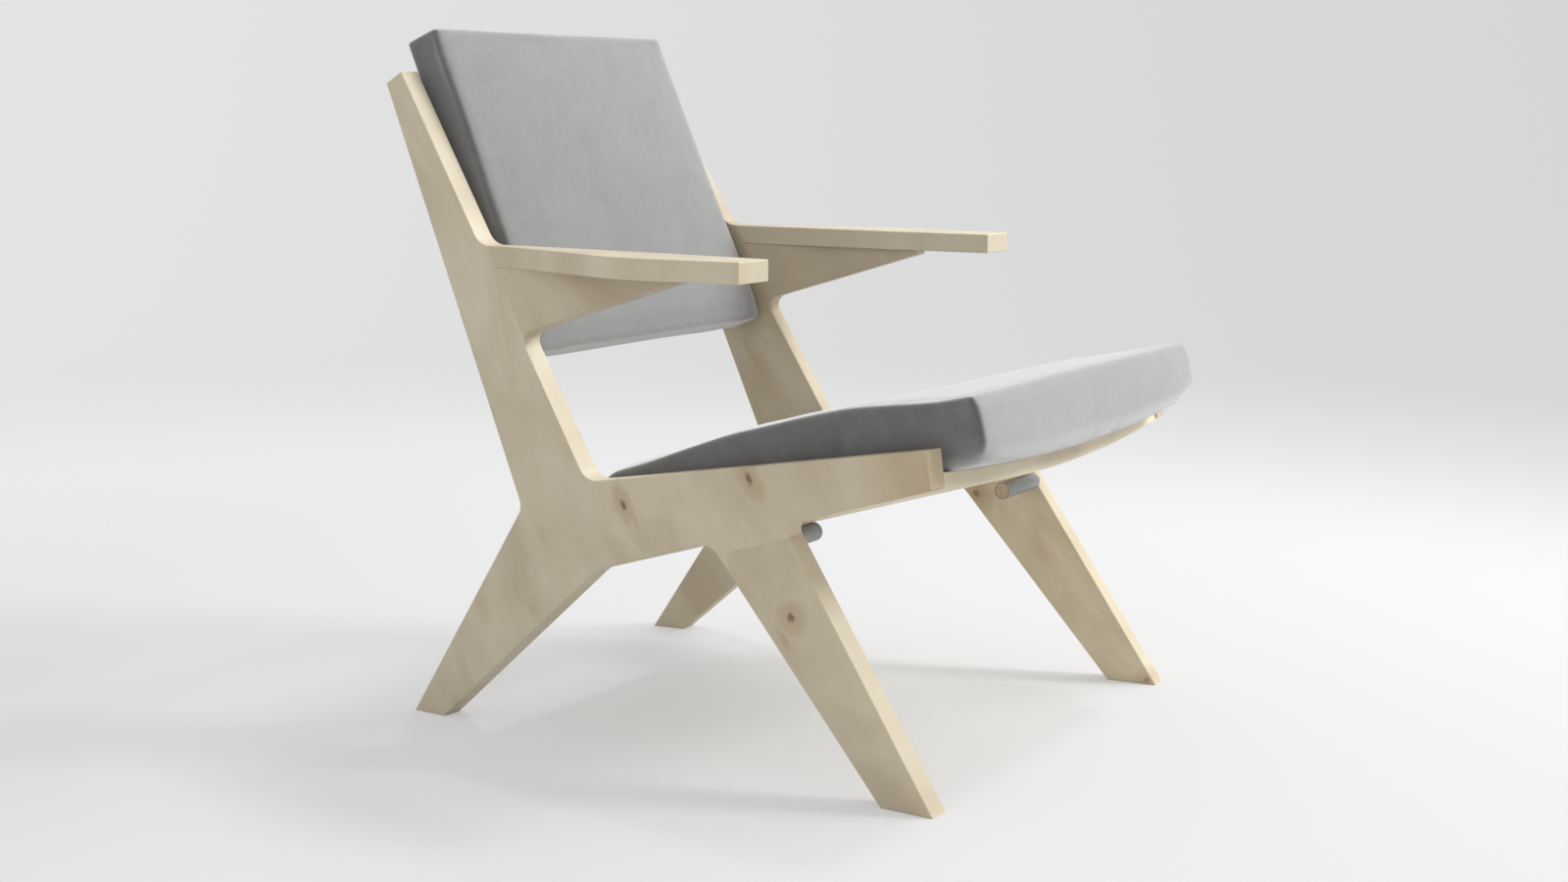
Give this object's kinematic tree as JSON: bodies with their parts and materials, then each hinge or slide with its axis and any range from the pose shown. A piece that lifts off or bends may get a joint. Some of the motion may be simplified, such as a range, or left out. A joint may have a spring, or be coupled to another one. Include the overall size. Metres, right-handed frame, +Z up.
{
  "type": "easy chair",
  "caption": "Low easy chair: toed-in plywood side frames of three boards each, flat armrests on brackets, a dished seat shell, a back panel and loose seat and back cushions.",
  "frame": {"origin": "on the floor, under the middle of the chair's overall width and depth", "axes": "+Z up; the sitter looks along -Y; +X is the sitter's left"},
  "size_m": [0.7394, 0.8256, 0.846],
  "materials": {
    "plywood": "clear matt lacquer on pale knotty plywood",
    "dowel_wood": "bare turned wood",
    "cushion_fabric": "soft grey velour with a faint mottle",
    "sleeve": "satin grey"
  },
  "bodies": {
    "chair_frame": {"right_side_frame": "plywood", "left_side_frame": "plywood", "right_front_leg": "plywood", "left_front_leg": "plywood", "right_arm_bracket": "plywood", "left_arm_bracket": "plywood", "right_armrest": "plywood", "left_armrest": "plywood", "seat_shell": "plywood", "back_panel": "plywood", "right_peg": "dowel_wood", "left_peg": "dowel_wood", "right_peg_sleeve": "sleeve", "left_peg_sleeve": "sleeve", "armrest_dowels": "dowel_wood", "leg_dowels": "dowel_wood", "bracket_dowels": "dowel_wood", "seat_dowels": "dowel_wood", "back_dowels": "dowel_wood", "peg_dowels": "dowel_wood"},
    "loose_seat_cushion": {"seat_cushion": "cushion_fabric"},
    "loose_back_cushion": {"back_cushion": "cushion_fabric"}
  },
  "joints": [
    {"name": "seat_cushion_lift_off", "type": "slide", "parent": "chair_frame", "child": "loose_seat_cushion", "axis": [0, -0.9578, 0.2874], "range_m": [0, 0.3]},
    {"name": "back_cushion_lift_off", "type": "slide", "parent": "chair_frame", "child": "loose_back_cushion", "axis": [0, -0.9238, 0.3829], "range_m": [0, 0.25]}
  ]
}
